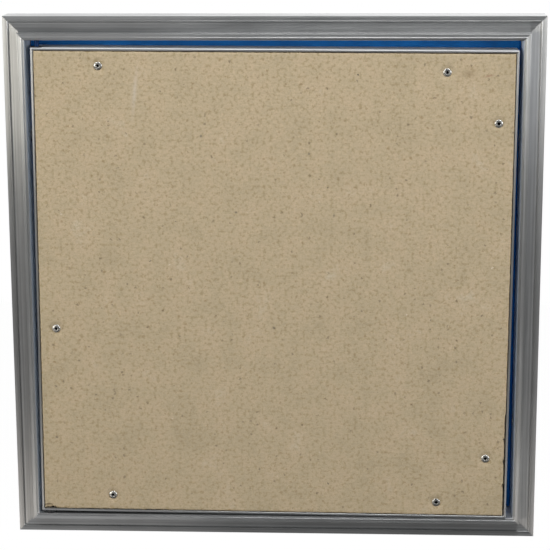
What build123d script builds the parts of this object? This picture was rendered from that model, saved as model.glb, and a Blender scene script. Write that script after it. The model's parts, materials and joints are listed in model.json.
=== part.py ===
"""Tileable access panel: an aluminium frame with a hinged leaf that carries a fibreboard insert.

Frame of the part: millimetres, +Z up, the front faces -Y. The origin is the centre of the
frame on the plane of its tile edge, so a depth d behind that plane is y = d.
"""
import math
import os

from build123d import *

os.makedirs("parts", exist_ok=True)

# Outer frame
frame_half = 200.0
frame_depth = 33.6
frame_wall = 1.6
strip_depth = 9.0
strip_width = 3.2
strip_bead = 0.8
band_depth = 10.0
groove_depth = 10.8
groove_width = 0.9
lip_width = 5.2
lip_depth = 0.5
lip_edge = 0.7
lip_bead = 1.0
lip_step_width = 1.4
lip_step_depth = 1.1
lip_corner = 0.3
opening_half = 183.0
stop_half = 172.0
stop_rib = 1.0

# Leaf, hung out of square as it settles on its pivots
leaf_half = 179.0
leaf_x = -0.3
leaf_z = -2.5
leaf_sag = 0.32
leaf_depth = 26.2
leaf_wall = 1.6
ledge_reach = 20.0
return_reach = 8.0
return_wall = 1.4
return_hook = 1.2

# Fibreboard insert
board_thickness = 12.5
board_joint = 0.7
board_bevel = 0.4

# Blind rivets: where each stands on the leaf, across and up from its centre
rivet_places = [(-129.3, 166.1), (127.0, 163.0), (-164.7, -33.5), (-123.6, -165.6), (125.5, -167.3)]
strike_rivet_places = [(165.4, 125.7), (162.2, -131.5)]
rivet_shank = 1.6
rivet_head = 3.2
rivet_bore = 0.95
rivet_tail = 2.4
rivet_tail_length = 3.0
dent_radius = 5.2
dent_floor = 3.6
dent_depth = 0.9

# Pivots at the hinge side
pivot_x = -174.1
pivot_y = 4.5
pivot_radius = 1.75
pivot_play = 0.1
bush_radius = 2.6
bush_flange = 4.0
bush_flange_height = 0.8
bar_thickness = 1.9
bar_length = 34.0
bar_width = 8.4
bar_screw_places = (14.0, 26.0)
bar_screw_depth = 7.0

# Touch latches behind the free side
latch_x = 164.6
latch_places = {"upper": 104.0, "lower": -112.0}
latch_width = 10.2
latch_height = 16.0
latch_front = 19.0
latch_back = 52.0
latch_bore = 3.6
latch_ear = 24.0
latch_ear_thickness = 2.8
latch_cap = 2.0
latch_screw_x = 189.0
latch_screw_spacing = 8.6
plunger_radius = 3.5
plunger_tail = 38.0
plunger_gap = 0.3
magnet_radius = 2.8
magnet_length = 2.4
strike_thickness = 1.2
strike_width = 9.6
strike_length = 32.0
spring_wire = 0.7
spring_radius = 2.7
spring_turns = 4

# Corner cleats and their screws
cleat_gap = 0.2
cleat_leg = 42.0
cleat_wall = 2.6
leaf_cleat_leg = 40.0
leaf_cleat_thickness = 4.8
screw_shank = 1.75
screw_head = 3.5
screw_head_height = 2.0
screw_length = 12.0
set_screw_radius = 2.0

# Fixing holes in the two side rails
fixing_spacing = 220.0
fixing_depth = 22.0
fixing_hole = 2.3
fixing_access = 5.0

cavity_half = frame_half - frame_wall
reveal_back = opening_half + frame_wall
stop_front = frame_depth - frame_wall
cavity_front = band_depth + frame_wall
ledge_front = board_thickness
ledge_back = ledge_front + leaf_wall
strike_front = ledge_back + strike_thickness
plunger_tip = strike_front + plunger_gap
cleat_outer = cavity_half - cleat_gap
cleat_inner = reveal_back + cleat_gap
cleat_end = cleat_outer - cleat_leg
cell_outer = cleat_outer - cleat_wall
cell_inner = cleat_inner + cleat_wall
cleat_screw_along = cleat_end + 22.0
cleat_screw_across = (cleat_outer + cleat_inner) / 2
cleat_front = cavity_front + cleat_gap
cleat_back = stop_front - cleat_gap
sag = math.radians(leaf_sag)
leaf_face = Plane(origin=(leaf_x, 0, leaf_z), x_dir=(math.cos(sag), 0, -math.sin(sag)), z_dir=(0, -1, 0))
quarter_turns = {"top": 0, "right": 90, "bottom": 180, "left": 270}


def save(piece, name):
    """Label a finished piece and write its STEP file."""
    piece.part.label = name
    export_step(piece.part, f"parts/{name}.step")


def section_plane(turn, origin=(0, 0, 0)):
    """Section plane of a rail: x runs into the wall, y runs outwards, z runs along the rail."""
    angle = math.radians(turn)
    return Plane(origin=origin, x_dir=(0, 1, 0), z_dir=(math.cos(angle), 0, -math.sin(angle)))


def cut_mitres(plane):
    """Cut both ends of the rail being built to 45 degrees through the frame's centre."""
    for end in (1, -1):
        split(bisect_by=Plane(origin=plane.origin, z_dir=plane.z_dir * end - plane.y_dir), keep=Keep.BOTTOM)


def frame_rail(turn):
    """One extruded side of the frame: outer strip, tile band, tile edge, reveal and stop."""
    plane = section_plane(turn)
    strip_end = frame_half - strip_width
    bead_end = strip_end - strip_bead
    groove_end = bead_end - groove_width
    lip_outer = opening_half + lip_width
    step_start = opening_half + lip_step_width
    bead_start = step_start + lip_bead
    with BuildPart() as rail:
        with BuildSketch(plane):
            with BuildLine():
                Polyline((frame_depth, frame_half), (strip_depth, frame_half), (strip_depth, strip_end))
                ThreePointArc((strip_depth, strip_end),
                              (strip_depth - strip_bead / 2, strip_end - strip_bead / 2),
                              (strip_depth, bead_end))
                Polyline((strip_depth, bead_end), (groove_depth, bead_end), (groove_depth, groove_end),
                         (band_depth, groove_end), (band_depth, lip_outer),
                         (lip_depth + lip_edge, lip_outer))
                RadiusArc((lip_depth + lip_edge, lip_outer), (lip_depth, lip_outer - lip_edge), lip_edge)
                Line((lip_depth, lip_outer - lip_edge), (lip_depth, bead_start))
                ThreePointArc((lip_depth, bead_start), (0, bead_start - lip_bead / 2),
                              (lip_depth, step_start))
                Polyline((lip_depth, step_start), (lip_step_depth, step_start),
                         (lip_step_depth, opening_half + lip_corner),
                         (lip_step_depth + lip_corner, opening_half), (stop_front, opening_half),
                         (stop_front, stop_half + stop_rib), (stop_front - stop_rib, stop_half + stop_rib),
                         (stop_front - stop_rib, stop_half), (frame_depth, stop_half),
                         (frame_depth, frame_half))
            make_face()
            with BuildLine():
                Polyline((lip_step_depth + frame_wall, reveal_back),
                         (lip_step_depth + frame_wall, lip_outer - frame_wall),
                         (cavity_front, lip_outer - frame_wall), (cavity_front, cavity_half),
                         (stop_front, cavity_half), (stop_front, reveal_back), close=True)
            make_face(mode=Mode.SUBTRACT)
        extrude(amount=frame_half, both=True)
        cut_mitres(plane)
    return rail


def cleat_screw_spots(turn):
    """The two places on the back wall of a rail where screws enter its corner cleats."""
    face = Plane(origin=(0, frame_depth, 0), x_dir=(-1, 0, 0), z_dir=(0, 1, 0))
    return [face.location * Location((0, 0, 0), (0, 0, turn)) * Location((end * cleat_screw_along,
            cleat_screw_across, 0)) for end in (1, -1)]


def latch_screw_spots(depth):
    """The four places, two at each touch latch, where screws hold the latch's ear."""
    return [Location(Plane(origin=(latch_screw_x, depth, level + end * latch_screw_spacing / 2),
                           x_dir=(1, 0, 0), z_dir=(0, 1, 0)))
            for level in latch_places.values() for end in (1, -1)]


def pan_head_screw(head_radius, shank_radius, length):
    """A pan-head screw along -Z with its head above the XY plane."""
    with BuildPart() as screw:
        Cone(head_radius, head_radius * 0.75, screw_head_height,
             align=(Align.CENTER, Align.CENTER, Align.MIN))
        Cylinder(shank_radius, length, align=(Align.CENTER, Align.CENTER, Align.MAX))
    return screw


# Frame rails. The top and bottom rails are drilled for the pivots, the side rails for fixings.
for side in ("top", "bottom"):
    outwards = 1 if side == "top" else -1
    reveal_plane = Plane(origin=(0, 0, outwards * opening_half), x_dir=(1, 0, 0), z_dir=(0, 0, -outwards))
    bare_rail = frame_rail(quarter_turns[side])
    with BuildPart() as frame_level_rail:
        add(bare_rail.part)
        with Locations(*cleat_screw_spots(quarter_turns[side])):
            Hole(screw_shank + 0.1, depth=frame_wall)
        with Locations(reveal_plane.location * Location((pivot_x, -outwards * pivot_y, 0))):
            Hole(pivot_radius + 0.3, depth=frame_wall)
        for along in bar_screw_places:
            with Locations(reveal_plane.location * Location(
                    (pivot_x + along, -outwards * bar_screw_depth, 0))):
                CounterSinkHole(1.6, 2.9, depth=frame_wall, counter_sink_angle=90)
    save(frame_level_rail, f"frame_{side}_rail")

for side in ("right", "left"):
    outwards = 1 if side == "right" else -1
    bare_rail = frame_rail(quarter_turns[side])
    with BuildPart() as frame_side_rail:
        add(bare_rail.part)
        with Locations(*cleat_screw_spots(quarter_turns[side])):
            Hole(screw_shank + 0.1, depth=frame_wall)
        if side == "right":
            with Locations(*latch_screw_spots(frame_depth)):
                Hole(1.6, depth=frame_wall)
        with BuildSketch(Plane.YZ.offset(outwards * frame_half)):
            with Locations((fixing_depth, 0)):
                with GridLocations(0, fixing_spacing, 1, 2):
                    Circle(fixing_hole)
        extrude(amount=-outwards * (frame_wall + 1), mode=Mode.SUBTRACT)
        with BuildSketch(Plane.YZ.offset(outwards * (opening_half - 1))):
            with Locations((fixing_depth, 0)):
                with GridLocations(0, fixing_spacing, 1, 2):
                    Circle(fixing_access)
        extrude(amount=outwards * (frame_wall + 2), mode=Mode.SUBTRACT)
    save(frame_side_rail, f"frame_{side}_rail")

# Corner cleats of the frame: hollow extruded angles that fill the rails' chamber
with BuildPart() as frame_corner_cleats:
    with BuildSketch(Plane.XZ.offset(-cleat_front)):
        with PolarLocations(0, 4):
            Polygon((cleat_outer, cleat_outer), (cleat_end, cleat_outer), (cleat_end, cleat_inner),
                    (cleat_inner, cleat_inner), (cleat_inner, cleat_end), (cleat_outer, cleat_end),
                    align=None)
            Polygon((cleat_end + 3, cell_outer), (cleat_end + 3, cell_inner),
                    (cleat_screw_along - 5, cell_inner), (cleat_screw_along - 5, cell_outer),
                    align=None, mode=Mode.SUBTRACT)
            Polygon((cell_outer, cleat_end + 3), (cell_inner, cleat_end + 3),
                    (cell_inner, cleat_screw_along - 5), (cell_outer, cleat_screw_along - 5),
                    align=None, mode=Mode.SUBTRACT)
            Polygon((cell_outer, cell_outer), (cell_outer, cell_inner), (cell_inner, cell_inner),
                    (cell_inner, cell_outer), align=None, mode=Mode.SUBTRACT)
            with Locations((cleat_screw_along, cleat_screw_across), (cleat_screw_across, cleat_screw_along)):
                Circle(screw_shank, mode=Mode.SUBTRACT)
    extrude(amount=cleat_front - cleat_back)
save(frame_corner_cleats, "frame_corner_cleats")

# Pan-head screws through the frame's back wall into the cleats
cleat_screw = pan_head_screw(screw_head, screw_shank - 0.05, screw_length)
with BuildPart() as cleat_screws:
    for turn in quarter_turns.values():
        with Locations(*cleat_screw_spots(turn)):
            add(cleat_screw.part)
save(cleat_screws, "frame_cleat_screws")

# Blue sealing strip on the stop, in four mitred lengths: a flat foot under a hollow dome
seal_outer = opening_half - 0.3
seal_inner = stop_half + stop_rib + 0.3
seal_middle = (seal_outer + seal_inner) / 2
seal_front = 27.4
seal_shoulder = 30.2
seal_skin = 1.1
for side, turn in quarter_turns.items():
    plane = section_plane(turn)
    with BuildPart() as seal:
        with BuildSketch(plane):
            with BuildLine():
                Polyline((seal_shoulder, seal_inner), (stop_front, seal_inner), (stop_front, seal_outer),
                         (seal_shoulder, seal_outer))
                ThreePointArc((seal_shoulder, seal_outer), (seal_front, seal_middle),
                              (seal_shoulder, seal_inner))
            make_face()
            with BuildLine():
                Line((stop_front - seal_skin, seal_inner + seal_skin),
                     (stop_front - seal_skin, seal_outer - seal_skin))
                ThreePointArc((stop_front - seal_skin, seal_outer - seal_skin),
                              (seal_front + seal_skin, seal_middle),
                              (stop_front - seal_skin, seal_inner + seal_skin))
            make_face(mode=Mode.SUBTRACT)
        extrude(amount=frame_half, both=True)
        cut_mitres(plane)
    save(seal, f"stop_seal_{side}")


def leaf_rail(turn):
    """One extruded side of the leaf: thin rim, ledge for the board and a hooked back return."""
    plane = section_plane(turn + leaf_sag, (leaf_x, 0, leaf_z))
    inner = leaf_half - leaf_wall
    ease = 0.3
    with BuildPart() as rail:
        with BuildSketch(plane):
            with BuildLine():
                Polyline((ease, leaf_half), (leaf_depth, leaf_half),
                         (leaf_depth, leaf_half - return_reach),
                         (leaf_depth - return_wall - return_hook, leaf_half - return_reach),
                         (leaf_depth - return_wall - return_hook, leaf_half - return_reach + return_hook),
                         (leaf_depth - return_wall, leaf_half - return_reach + return_hook),
                         (leaf_depth - return_wall, inner), (ledge_back, inner),
                         (ledge_back, leaf_half - ledge_reach), (ledge_front, leaf_half - ledge_reach),
                         (ledge_front, inner), (ease, inner), (0, inner + ease), (0, leaf_half - ease),
                         close=True)
            make_face()
        extrude(amount=leaf_half, both=True)
        cut_mitres(plane)
    return rail


def rivet(grip):
    """A blind rivet along -Z: domed hollow head below the XY plane, shank and upset tail."""
    tail_end = -grip - rivet_tail_length
    with BuildPart() as blind_rivet:
        with BuildSketch(Plane.XZ):
            Polygon((rivet_bore, -2.4), (rivet_bore, -0.05), (rivet_head, 0.2 - dent_depth),
                    (rivet_head, -dent_depth), (rivet_shank, -dent_depth), (rivet_shank, -grip),
                    (rivet_tail, -grip), (rivet_shank, tail_end), (0, tail_end), (0, -2.4), align=None)
        revolve(axis=Axis.Z)
    return blind_rivet


def on_leaf(across, up, depth=0.0):
    """A place on the leaf's front plane, turned to look out of it."""
    return leaf_face.location * Location((across, up, -depth))


def leaf_edge_plane(outwards):
    """Plane on the leaf's top (1) or bottom (-1) face at the pivot, looking outwards."""
    across = (pivot_x - leaf_x - outwards * leaf_half * math.sin(sag)) / math.cos(sag)
    corner = leaf_face.from_local_coords(Vector(across, outwards * leaf_half, 0))
    return Plane(origin=(corner.X, pivot_y, corner.Z), x_dir=leaf_face.x_dir,
                 z_dir=leaf_face.y_dir * outwards)


# Leaf rails, drilled for the rivets and, at top and bottom, for the pivot bushes
all_rivets = rivet_places + strike_rivet_places
for side, turn in quarter_turns.items():
    bare_rail = leaf_rail(turn)
    with BuildPart() as leaf_side:
        add(bare_rail.part)
        with BuildSketch(leaf_face.offset(-ledge_front + 0.5)):
            with Locations(*all_rivets):
                Circle(rivet_shank + 0.05)
        extrude(amount=-(leaf_wall + 1), mode=Mode.SUBTRACT)
        if side in ("top", "bottom"):
            with Locations(leaf_edge_plane(1 if side == "top" else -1)):
                Hole(bush_radius, depth=leaf_wall)
    save(leaf_side, f"leaf_{side}_rail")

# Fibreboard insert with a shallow dent and a hole at each rivet
board_half = leaf_half - leaf_wall - board_joint
with BuildPart() as board_insert:
    with BuildSketch(leaf_face):
        Rectangle(2 * board_half, 2 * board_half)
    extrude(amount=-board_thickness)
    chamfer(board_insert.faces().sort_by(Axis.Y)[0].edges(), board_bevel)
    with Locations(*[on_leaf(across, up, dent_depth) for across, up in all_rivets]):
        Cone(dent_floor, dent_radius, dent_depth, mode=Mode.SUBTRACT,
             align=(Align.CENTER, Align.CENTER, Align.MIN))
        Cylinder(rivet_shank + 0.15, board_thickness, mode=Mode.SUBTRACT,
                 align=(Align.CENTER, Align.CENTER, Align.MAX))
save(board_insert, "board_insert")

plain_rivet = rivet(ledge_back)
strike_rivet = rivet(strike_front)
with BuildPart() as board_rivets:
    with Locations(*[on_leaf(across, up) for across, up in rivet_places]):
        add(plain_rivet.part)
    with Locations(*[on_leaf(across, up) for across, up in strike_rivet_places]):
        add(strike_rivet.part)
save(board_rivets, "board_rivets")

# Angle cleats pressed into the channel behind the ledge, each locked by two set screws
leaf_cleat_outer = leaf_half - leaf_wall - cleat_gap
leaf_cleat_inner = leaf_cleat_outer - leaf_cleat_thickness
leaf_cleat_end = leaf_cleat_outer - leaf_cleat_leg
leaf_cleat_front = ledge_back + cleat_gap
leaf_cleat_deep = leaf_depth - return_wall - cleat_gap - leaf_cleat_front
set_screw_along = leaf_cleat_end + 12.0
set_screw_depth = leaf_cleat_front + leaf_cleat_deep / 2
with BuildPart() as leaf_corner_cleats:
    with BuildSketch(leaf_face.offset(-leaf_cleat_front)):
        with PolarLocations(0, 4):
            Polygon((leaf_cleat_outer, leaf_cleat_outer), (leaf_cleat_end, leaf_cleat_outer),
                    (leaf_cleat_end, leaf_cleat_inner), (leaf_cleat_inner, leaf_cleat_inner),
                    (leaf_cleat_inner, leaf_cleat_end), (leaf_cleat_outer, leaf_cleat_end), align=None)
    extrude(amount=-leaf_cleat_deep)
    for turn in quarter_turns.values():
        screw_plane = section_plane(turn + leaf_sag, (leaf_x, 0, leaf_z))
        for end in (1, -1):
            with BuildSketch(Plane(origin=screw_plane.from_local_coords(
                    Vector(set_screw_depth, leaf_cleat_inner - 1, end * set_screw_along)),
                    x_dir=screw_plane.x_dir, z_dir=screw_plane.y_dir)):
                Circle(set_screw_radius + 0.02)
            extrude(amount=leaf_cleat_thickness + 2, mode=Mode.SUBTRACT)
save(leaf_corner_cleats, "leaf_corner_cleats")

with BuildPart() as leaf_set_screws:
    for turn in quarter_turns.values():
        screw_plane = section_plane(turn + leaf_sag, (leaf_x, 0, leaf_z))
        for end in (1, -1):
            with BuildSketch(Plane(origin=screw_plane.from_local_coords(
                    Vector(set_screw_depth, leaf_cleat_inner, end * set_screw_along)),
                    x_dir=screw_plane.x_dir, z_dir=screw_plane.y_dir)):
                Circle(set_screw_radius - 0.02)
                RegularPolygon(1.15, 6, mode=Mode.SUBTRACT)
            extrude(amount=leaf_cleat_thickness + cleat_gap)
save(leaf_set_screws, "leaf_set_screws")

# Pivots: a bar in the lip's chamber carries a pin, which turns in a flanged bush in the leaf
for side, level in (("upper", 1), ("lower", -1)):
    wall_plane = Plane(origin=(pivot_x, 0, level * reveal_back), x_dir=(1, 0, 0), z_dir=(0, 0, level))
    with BuildPart() as pivot_bar:
        with BuildSketch(wall_plane):
            with Locations((bar_length / 2 - 6, level * 7.0)):
                RectangleRounded(bar_length, bar_width, 1.5)
            with Locations((0, level * pivot_y)):
                Circle(pivot_radius, mode=Mode.SUBTRACT)
            with Locations(*[(along, level * bar_screw_depth) for along in bar_screw_places]):
                Circle(1.5, mode=Mode.SUBTRACT)
        extrude(amount=bar_thickness)
    save(pivot_bar, f"{side}_pivot_bar")

    edge_plane = leaf_edge_plane(level)
    with BuildPart() as bush:
        with BuildSketch(edge_plane):
            Circle(bush_flange)
        extrude(amount=bush_flange_height)
        with BuildSketch(edge_plane):
            Circle(bush_radius)
        extrude(amount=-(leaf_wall + 0.4))
        with BuildSketch(edge_plane.offset(-leaf_wall - 1)):
            Circle(pivot_radius + pivot_play)
        extrude(amount=leaf_wall + bush_flange_height + 2, mode=Mode.SUBTRACT)
    save(bush, f"{side}_pivot_bush")

    flange_level = abs(edge_plane.origin.Z) + bush_flange_height + 0.1
    tip_level = abs(edge_plane.origin.Z) - leaf_wall - 0.2
    with BuildPart() as pivot_pin:
        with BuildSketch(Plane(origin=(pivot_x, pivot_y, level * (reveal_back + bar_thickness)),
                               x_dir=(1, 0, 0), z_dir=(0, 0, -level))):
            Circle(pivot_radius)
        extrude(amount=reveal_back + bar_thickness - tip_level)
        chamfer(pivot_pin.edges().sort_by(Axis.Z)[0 if level == 1 else -1], 0.3)
    save(pivot_pin, f"{side}_pivot_pin")

    if side == "lower":
        with BuildPart() as thrust_washer:
            with BuildSketch(Plane(origin=(pivot_x, pivot_y, -opening_half))):
                Circle(bush_flange)
                Circle(pivot_radius + pivot_play, mode=Mode.SUBTRACT)
            extrude(amount=opening_half - flange_level)
        save(thrust_washer, "pivot_thrust_washer")

with BuildPart() as pivot_bar_screws:
    for level in (1, -1):
        for along in bar_screw_places:
            head_plane = Plane(origin=(pivot_x + along, bar_screw_depth, level * opening_half),
                               x_dir=(1, 0, 0), z_dir=(0, 0, level))
            with Locations(Location(head_plane)):
                Cone(2.8, 1.45, 1.3, align=(Align.CENTER, Align.CENTER, Align.MIN))
                Cylinder(1.45, frame_wall + bar_thickness, align=(Align.CENTER, Align.CENTER, Align.MIN))
save(pivot_bar_screws, "pivot_bar_screws")

# Touch latches: a box with an ear screwed to the rail's back, a sprung plunger with a magnet
latch_screw = pan_head_screw(3.2, 1.5, 9.0)
for name, level in latch_places.items():
    latch_plane = Plane(origin=(latch_x, 0, level), x_dir=(1, 0, 0), z_dir=(0, -1, 0))
    with BuildPart() as housing:
        with BuildSketch(latch_plane.offset(-latch_front)):
            RectangleRounded(latch_width, latch_height, 1.5)
        extrude(amount=latch_front - latch_back)
        with BuildSketch(latch_plane.offset(-frame_depth)):
            with Locations((latch_width / 2 + latch_ear / 2 - 1, 0)):
                RectangleRounded(latch_ear + 2, latch_height, 1.5)
        extrude(amount=-latch_ear_thickness)
        for rib in (1, -1):
            with BuildSketch(Plane.XY.offset(level + rib * (latch_height / 2 - 1) - 0.75)):
                Polygon((latch_x + latch_width / 2 - 1, frame_depth + 1),
                        (latch_x + latch_width / 2 + 14, frame_depth + 1),
                        (latch_x + latch_width / 2 - 1, frame_depth + 14), align=None)
            extrude(amount=1.5)
        with BuildSketch(latch_plane.offset(-latch_front + 1)):
            Circle(latch_bore)
        extrude(amount=latch_front - latch_back - 2, mode=Mode.SUBTRACT)
        with BuildSketch(latch_plane.offset(-frame_depth + 1)):
            with Locations((latch_screw_x - latch_x, 0)):
                with GridLocations(0, latch_screw_spacing, 1, 2):
                    Circle(1.6)
        extrude(amount=-latch_ear_thickness - 2, mode=Mode.SUBTRACT)
    save(housing, f"{name}_latch_housing")

    with BuildPart() as cap:
        with BuildSketch(latch_plane.offset(-latch_back)):
            RectangleRounded(latch_width, latch_height, 1.5)
        extrude(amount=-latch_cap)
        with BuildSketch(latch_plane.offset(-latch_back)):
            Circle(spring_radius - spring_wire / 2 - 0.3)
        extrude(amount=4)
    save(cap, f"{name}_latch_cap")

    with BuildPart() as plunger:
        with BuildSketch(latch_plane.offset(-plunger_tip - 0.2)):
            Circle(plunger_radius)
        extrude(amount=plunger_tip + 0.2 - plunger_tail)
        chamfer(plunger.edges().sort_by(Axis.Y)[0], 0.4)
        with BuildSketch(latch_plane.offset(-plunger_tip)):
            Circle(magnet_radius + 0.02)
        extrude(amount=-magnet_length, mode=Mode.SUBTRACT)
        with BuildSketch(latch_plane.offset(-plunger_tail)):
            Circle(1.9)
        extrude(amount=8, mode=Mode.SUBTRACT)
    save(plunger, f"{name}_latch_plunger")

    with BuildPart() as magnet:
        with BuildSketch(latch_plane.offset(-plunger_tip)):
            Circle(magnet_radius - 0.02)
        extrude(amount=-magnet_length)
        chamfer(magnet.edges().sort_by(Axis.Y)[0], 0.3)
    save(magnet, f"{name}_latch_magnet")

    spring_length = latch_back - plunger_tail - spring_wire - 0.4
    spring_plane = latch_plane.offset(-latch_back + spring_wire / 2 + 0.2)
    with BuildPart() as spring:
        with BuildLine():
            coil = Helix(spring_length / spring_turns, spring_length, spring_radius,
                         center=spring_plane.origin, direction=spring_plane.z_dir)
        with BuildSketch(Plane(origin=coil @ 0, z_dir=coil % 0)):
            Rectangle(spring_wire * 0.9, spring_wire * 0.9)
        sweep(is_frenet=True)
    save(spring, f"{name}_latch_spring")

    strike_rivet_place = Vector(*strike_rivet_places[0 if name == "upper" else 1])
    contact = leaf_face.to_local_coords(Vector(latch_x, 0, level))
    strike_middle = (strike_rivet_place + contact) / 2
    with BuildPart() as strike:
        with BuildSketch(leaf_face.offset(-ledge_back)):
            with Locations((strike_middle.X, strike_middle.Y)):
                RectangleRounded(strike_width, strike_length, 1.5)
            with Locations((strike_rivet_place.X, strike_rivet_place.Y)):
                Circle(rivet_shank + 0.05, mode=Mode.SUBTRACT)
        extrude(amount=-strike_thickness)
    save(strike, f"{name}_strike_plate")

with BuildPart() as latch_screws:
    with Locations(*latch_screw_spots(frame_depth + latch_ear_thickness)):
        add(latch_screw.part)
save(latch_screws, "latch_screws")
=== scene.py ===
# %% [markdown]
# # A tileable access panel
# The object is a square hatch for a tiled wall. Four mitred lengths of extruded aluminium make
# its frame, and a hinged leaf in the frame carries a bare fibreboard, ready to be tiled.
# The CAD model already holds the rigid pieces at their real size, so this lesson loads it first
# and then works on what the CAD leaves out: light, finishes, worn edges and soft pieces.

import json
import math

import bpy
from mathutils import Matrix, Vector


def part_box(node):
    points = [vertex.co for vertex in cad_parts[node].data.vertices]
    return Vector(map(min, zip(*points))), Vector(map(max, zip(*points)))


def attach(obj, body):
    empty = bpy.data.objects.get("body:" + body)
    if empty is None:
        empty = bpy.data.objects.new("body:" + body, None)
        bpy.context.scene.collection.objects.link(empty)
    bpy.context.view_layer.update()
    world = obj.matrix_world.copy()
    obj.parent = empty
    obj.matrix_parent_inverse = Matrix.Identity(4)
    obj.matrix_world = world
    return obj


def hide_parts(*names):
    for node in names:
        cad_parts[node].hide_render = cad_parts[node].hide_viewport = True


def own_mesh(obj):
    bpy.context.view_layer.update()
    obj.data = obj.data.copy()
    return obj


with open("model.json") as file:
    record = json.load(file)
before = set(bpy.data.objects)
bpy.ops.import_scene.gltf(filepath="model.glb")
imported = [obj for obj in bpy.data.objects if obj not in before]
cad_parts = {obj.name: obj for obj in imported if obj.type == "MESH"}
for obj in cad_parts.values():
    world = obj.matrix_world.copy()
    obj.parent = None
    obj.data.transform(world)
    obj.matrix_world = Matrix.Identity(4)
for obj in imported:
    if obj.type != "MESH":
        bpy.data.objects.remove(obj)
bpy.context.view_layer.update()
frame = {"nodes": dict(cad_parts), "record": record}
scene = bpy.context.scene

# %% [markdown]
# The photograph was taken with a long lens from a little above the panel and a touch to its
# right, so its sides nearly stay parallel. A camera is placed by three turns: yaw about the
# vertical, pitch downwards, and a slight roll, found by matching the frame's four corners.

# %% Camera
MM = 0.001
CAMERA_PLACE_MM = (66.8, -1370.5, 316.8)
YAW_DEG = 2.74
PITCH_DEG = -12.69
ROLL_DEG = 0.23
LENS_MM = 122.8


def turn(degrees, axis):
    """A rotation matrix about one of the world's axes."""
    return Matrix.Rotation(math.radians(degrees), 4, axis)


camera = bpy.data.objects.new("camera", bpy.data.cameras.new("camera"))
scene.collection.objects.link(camera)
camera.matrix_world = (Matrix.Translation(Vector(CAMERA_PLACE_MM) * MM) @ turn(YAW_DEG, "Z")
                       @ turn(PITCH_DEG, "X") @ turn(ROLL_DEG, "Y") @ turn(90, "X"))
camera.data.lens = LENS_MM
camera.data.sensor_width = 36.0
camera.data.clip_end = 20.0
scene.camera = camera
scene.view_settings.view_transform = "Standard"
print("camera is", round(camera.location.length, 3), "m from the panel")

# %% [markdown]
# A material is a small network of nodes, so two helpers keep each one short. The first turns an
# sRGB hex colour, as read from a picture, into the linear values that light is computed with.
# The second adds one node, sets its settings and sockets, and links what feeds it. A Map Range
# node's sockets go by number: the value, the span it comes from and the span it goes to.

# %% Helpers for colours and nodes


def linear(hex_colour):
    """An sRGB hex colour as linear red, green, blue and alpha."""
    channels = [int(hex_colour[i:i + 2], 16) / 255 for i in (1, 3, 5)]
    return tuple(c / 12.92 if c <= 0.04045 else ((c + 0.055) / 1.055) ** 2.4 for c in channels) + (1.0,)


def add_node(tree, kind, settings=None, **sockets):
    """Add a node, set it up and feed it.

    The setting named stops holds a colour ramp's (place, colour) pairs. A socket goes by its name,
    or by i and its number. Its value is a number, a colour or another node's output to link."""
    node = tree.nodes.new("ShaderNode" + kind)
    for key, value in (settings or {}).items():
        if key == "stops":
            stops = node.color_ramp.elements
            while len(stops) < len(value):
                stops.new(0.5)
            for stop, (place, colour) in zip(stops, value):
                stop.position, stop.color = place, colour
        else:
            setattr(node, key, value)
    for key, value in sockets.items():
        socket = node.inputs[int(key[1:]) if key[1:].isdigit() else key.replace("_", " ")]
        if isinstance(value, bpy.types.NodeSocket):
            tree.links.new(value, socket)
        else:
            socket.default_value = value
    return node


def new_material(name):
    """An empty node material, and its tree."""
    material = bpy.data.materials.new(name)
    material.use_nodes = True
    material.node_tree.nodes.clear()
    return material, material.node_tree


print("colour check:", [round(c, 3) for c in linear("#808080")])

# %% [markdown]
# ## The room
# The picture's background is plain white with no shadow in sight, as in a catalogue. The world is
# white to the camera, and also to reflections wherever it lies behind the panel. On the camera's
# side it is the dimmer room, which is why the flat aluminium looks mid-grey and not white. Low
# down, the middle and the two flanks of that room are darker still, and the frame's bottom rail
# and the lower halves of its uprights mirror them.

# %% World
world = bpy.data.worlds.new("studio")
world.use_nodes = True
scene.world = world
sky = world.node_tree
sky.nodes.clear()
axes = add_node(sky, "SeparateXYZ", Vector=add_node(sky, "TexCoord").outputs["Generated"])
towards_front = add_node(sky, "Math", {"operation": "MULTIPLY"}, i0=axes.outputs["Y"], i1=-1.0).outputs[0]
ROOM_TONES = [(0.0, "#FFFFFF"), (0.25, "#868788"), (0.50, "#757779"), (1.0, "#757779")]
LOW_TONE = "#585654"
room = add_node(sky, "ValToRGB", {"stops": [(place, linear(tone)) for place, tone in ROOM_TONES]},
                Fac=add_node(sky, "MapRange", i0=towards_front, i1=-0.2, i2=1.0).outputs[0]).outputs["Color"]
shifted = add_node(sky, "Math", {"operation": "SUBTRACT"}, i0=axes.outputs["X"], i1=0.02).outputs[0]
sideways = add_node(sky, "Math", {"operation": "ABSOLUTE"}, i0=shifted).outputs[0]
midway = add_node(sky, "MapRange", i0=sideways, i1=0.08, i2=0.17, i3=1.0, i4=0.0).outputs[0]
flanks = add_node(sky, "MapRange", i0=sideways, i1=0.25, i2=0.45, i3=0.0, i4=0.9).outputs[0]
low_down = add_node(sky, "MapRange", i0=axes.outputs["Z"], i1=-0.30, i2=-0.02, i3=1.0, i4=0.0).outputs[0]
darkened = add_node(sky, "Math", {"operation": "MAXIMUM"}, i0=midway, i1=flanks).outputs[0]
dark_part = add_node(sky, "Math", {"operation": "MULTIPLY"}, i0=darkened, i1=low_down).outputs[0]
room = add_node(sky, "Mix", {"data_type": "RGBA"}, i0=dark_part, i6=room, i7=linear(LOW_TONE)).outputs[2]
seen = add_node(sky, "LightPath").outputs["Is Camera Ray"]
sky_colour = add_node(sky, "Mix", {"data_type": "RGBA"}, i0=seen, i6=room, i7=linear("#FFFFFF")).outputs[2]
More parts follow.
